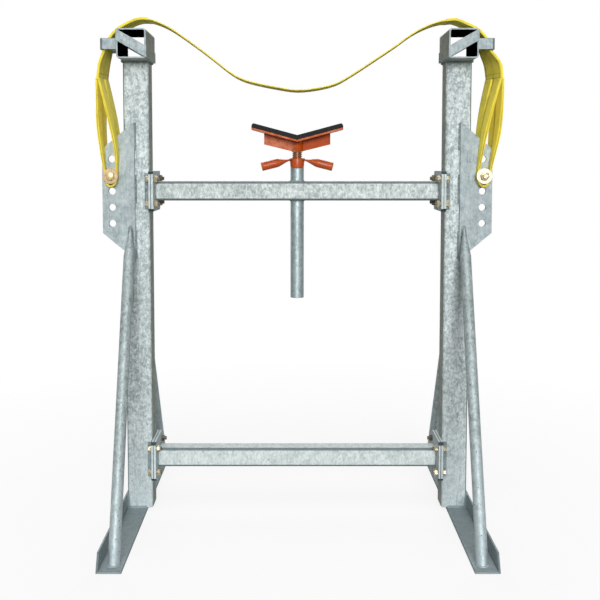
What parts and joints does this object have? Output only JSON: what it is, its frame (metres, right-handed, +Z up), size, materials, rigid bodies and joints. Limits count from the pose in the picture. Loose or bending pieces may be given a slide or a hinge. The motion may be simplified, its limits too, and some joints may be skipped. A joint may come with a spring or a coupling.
{
  "type": "boat bow stand",
  "caption": "Galvanised goal-post stand for a boat's bow, with a webbing sling hung between square-tube heads over a screw jack that carries a padded V head.",
  "frame": {"origin": "on the ground, at the centre of the stand's bounding box seen from above", "axes": "+X to the right seen from the front, +Y to the back, +Z up"},
  "size_m": [1.2442, 1, 1.5438],
  "materials": {
    "galvanised_steel": "hot-dip galvanised, mottled grey",
    "webbing": "woven yellow polyester webbing",
    "orange_paint": "orange enamel, slightly worn",
    "rubber": "matt black",
    "yellow_zinc": "yellow passivated zinc plate",
    "screw_steel": "greased machine-cut steel"
  },
  "bodies": {
    "frame": {"jack_tube": "galvanised_steel", "left_bolt_plate": "galvanised_steel", "left_foot": "galvanised_steel", "left_front_brace": "galvanised_steel", "left_front_stop_bar": "galvanised_steel", "left_head_tube": "galvanised_steel", "left_lower_flange": "galvanised_steel", "left_lower_flange_bolt_1": "yellow_zinc", "left_lower_flange_bolt_2": "yellow_zinc", "left_lower_flange_bolt_3": "yellow_zinc", "left_lower_flange_bolt_4": "yellow_zinc", "left_rear_brace": "galvanised_steel", "left_rear_stop_bar": "galvanised_steel", "left_sling_bolt": "yellow_zinc", "left_sling_bolt_front_washer": "yellow_zinc", "left_sling_bolt_nut": "yellow_zinc", "left_sling_bolt_rear_washer": "yellow_zinc", "left_strap_keeper": "galvanised_steel", "left_upper_flange": "galvanised_steel", "left_upper_flange_bolt_1": "yellow_zinc", "left_upper_flange_bolt_2": "yellow_zinc", "left_upper_flange_bolt_3": "yellow_zinc", "left_upper_flange_bolt_4": "yellow_zinc", "left_upright": "galvanised_steel", "lower_crossbar": "galvanised_steel", "lower_crossbar_left_plate": "galvanised_steel", "lower_crossbar_right_plate": "galvanised_steel", "right_bolt_plate": "galvanised_steel", "right_foot": "galvanised_steel", "right_front_brace": "galvanised_steel", "right_front_stop_bar": "galvanised_steel", "right_head_tube": "galvanised_steel", "right_lower_flange": "galvanised_steel", "right_lower_flange_bolt_1": "yellow_zinc", "right_lower_flange_bolt_2": "yellow_zinc", "right_lower_flange_bolt_3": "yellow_zinc", "right_lower_flange_bolt_4": "yellow_zinc", "right_rear_brace": "galvanised_steel", "right_rear_stop_bar": "galvanised_steel", "right_sling_bolt": "yellow_zinc", "right_sling_bolt_front_washer": "yellow_zinc", "right_sling_bolt_nut": "yellow_zinc", "right_sling_bolt_rear_washer": "yellow_zinc", "right_strap_keeper": "galvanised_steel", "right_upper_flange": "galvanised_steel", "right_upper_flange_bolt_1": "yellow_zinc", "right_upper_flange_bolt_2": "yellow_zinc", "right_upper_flange_bolt_3": "yellow_zinc", "right_upper_flange_bolt_4": "yellow_zinc", "right_upright": "galvanised_steel", "sling": "webbing", "upper_crossbar": "galvanised_steel", "upper_crossbar_left_plate": "galvanised_steel", "upper_crossbar_right_plate": "galvanised_steel"},
    "nut": {"wing_nut": "orange_paint"},
    "screw": {"jack_screw": "screw_steel"},
    "cradle": {"v_plate": "orange_paint", "v_support": "orange_paint", "rubber_pad": "rubber"}
  },
  "joints": [
    {"name": "wing_nut_spin", "type": "hinge", "parent": "frame", "child": "nut", "pos_m": [0, 0, 1.1], "axis": [0, 0, 1], "range_deg": [-6000, 900]},
    {"name": "jack_lift", "type": "slide", "parent": "frame", "child": "screw", "axis": [0, 0, 1], "range_m": [-0.0151, 0.1001]},
    {"name": "head_swivel", "type": "hinge", "parent": "screw", "child": "cradle", "pos_m": [0, 0, 1.15], "axis": [0, 0, 1], "continuous": true}
  ],
  "couplings": [
    {"joint": "jack_lift", "follows": "wing_nut_spin", "m_per_rad": -0.00095493}
  ]
}
